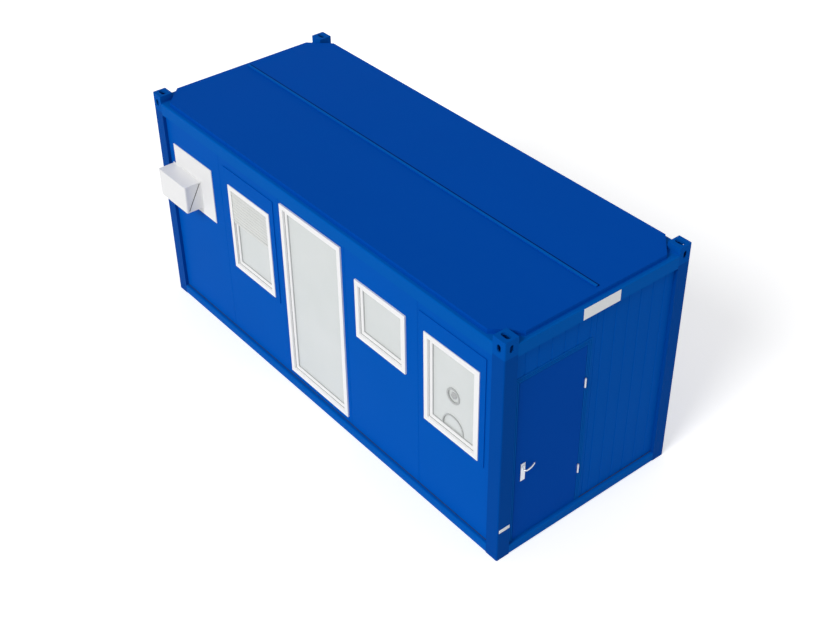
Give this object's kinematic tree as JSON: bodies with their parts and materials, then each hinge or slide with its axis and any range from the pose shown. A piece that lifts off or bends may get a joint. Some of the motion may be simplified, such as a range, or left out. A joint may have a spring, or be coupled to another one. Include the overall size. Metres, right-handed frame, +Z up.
{
  "type": "portable site cabin",
  "caption": "Steel-framed portable site cabin with sandwich walls, windows, roller shutters, an air unit and one hinged door.",
  "frame": {"origin": "middle of the underside of the floor frame, on the ground", "axes": "+X along the cabin to the door end, -Y is the window side, +Z up"},
  "size_m": [6.075, 2.625, 2.8],
  "materials": {
    "frame_blue": "gloss coating on cold-rolled steel",
    "casting_blue": "gloss coating on thick steel",
    "roof_blue": "coated roof sheet",
    "panel_blue": "coated sheet over a yellow wool core, white inside",
    "door_blue": "coated sheet, satin",
    "galvanised": "galvanised, dull",
    "board": "raw floor board",
    "vinyl": "light grey streaked floor covering",
    "white_laminate": "white coated board",
    "white_plastic": "white, smooth",
    "shutter_grey": "light grey slats",
    "pane_glass": "clear insulating glass",
    "handle_metal": "satin"
  },
  "bodies": {
    "cabin": {"floor_beams": "frame_blue", "corner_feet": "frame_blue", "floor_cross_members": "galvanised", "underfloor_sheet": "galvanised", "floor_board": "board", "floor_covering": "vinyl", "post_front_left": "frame_blue", "post_front_right": "frame_blue", "post_rear_left": "frame_blue", "post_rear_right": "frame_blue", "corner_castings": "casting_blue", "roof_rails": "frame_blue", "roof_corner_plates": "frame_blue", "roof_sheet": "roof_blue", "ceiling_board": "white_laminate", "front_panel_1": "panel_blue", "front_panel_2": "panel_blue", "front_panel_3": "panel_blue", "front_panel_4": "panel_blue", "front_panel_5": "panel_blue", "rear_panel_1": "panel_blue", "rear_panel_2": "panel_blue", "rear_panel_3": "panel_blue", "rear_panel_4": "panel_blue", "rear_panel_5": "panel_blue", "left_panel_1": "panel_blue", "left_panel_2": "panel_blue", "right_panel": "panel_blue", "door_panel_sides": "panel_blue", "door_panel_head": "panel_blue", "window_frames": "white_plastic", "window_sashes": "white_plastic", "window_panes": "pane_glass", "window_plates": "panel_blue", "service_trims": "shutter_grey", "shutter_boxes": "white_plastic", "shutter_curtains": "shutter_grey", "infill_board": "white_laminate", "air_unit": "white_plastic", "door_frame": "frame_blue", "hinge_frame_halves": "handle_metal"},
    "door": {"door_leaf": "door_blue", "hinge_leaf_halves": "handle_metal", "door_handles": "handle_metal"}
  },
  "joints": [
    {"name": "door_hinge", "type": "hinge", "parent": "cabin", "child": "door", "pos_m": [3.0025, -0.105, 1.153], "axis": [0, 0, 1], "range_deg": [0, 165]}
  ]
}
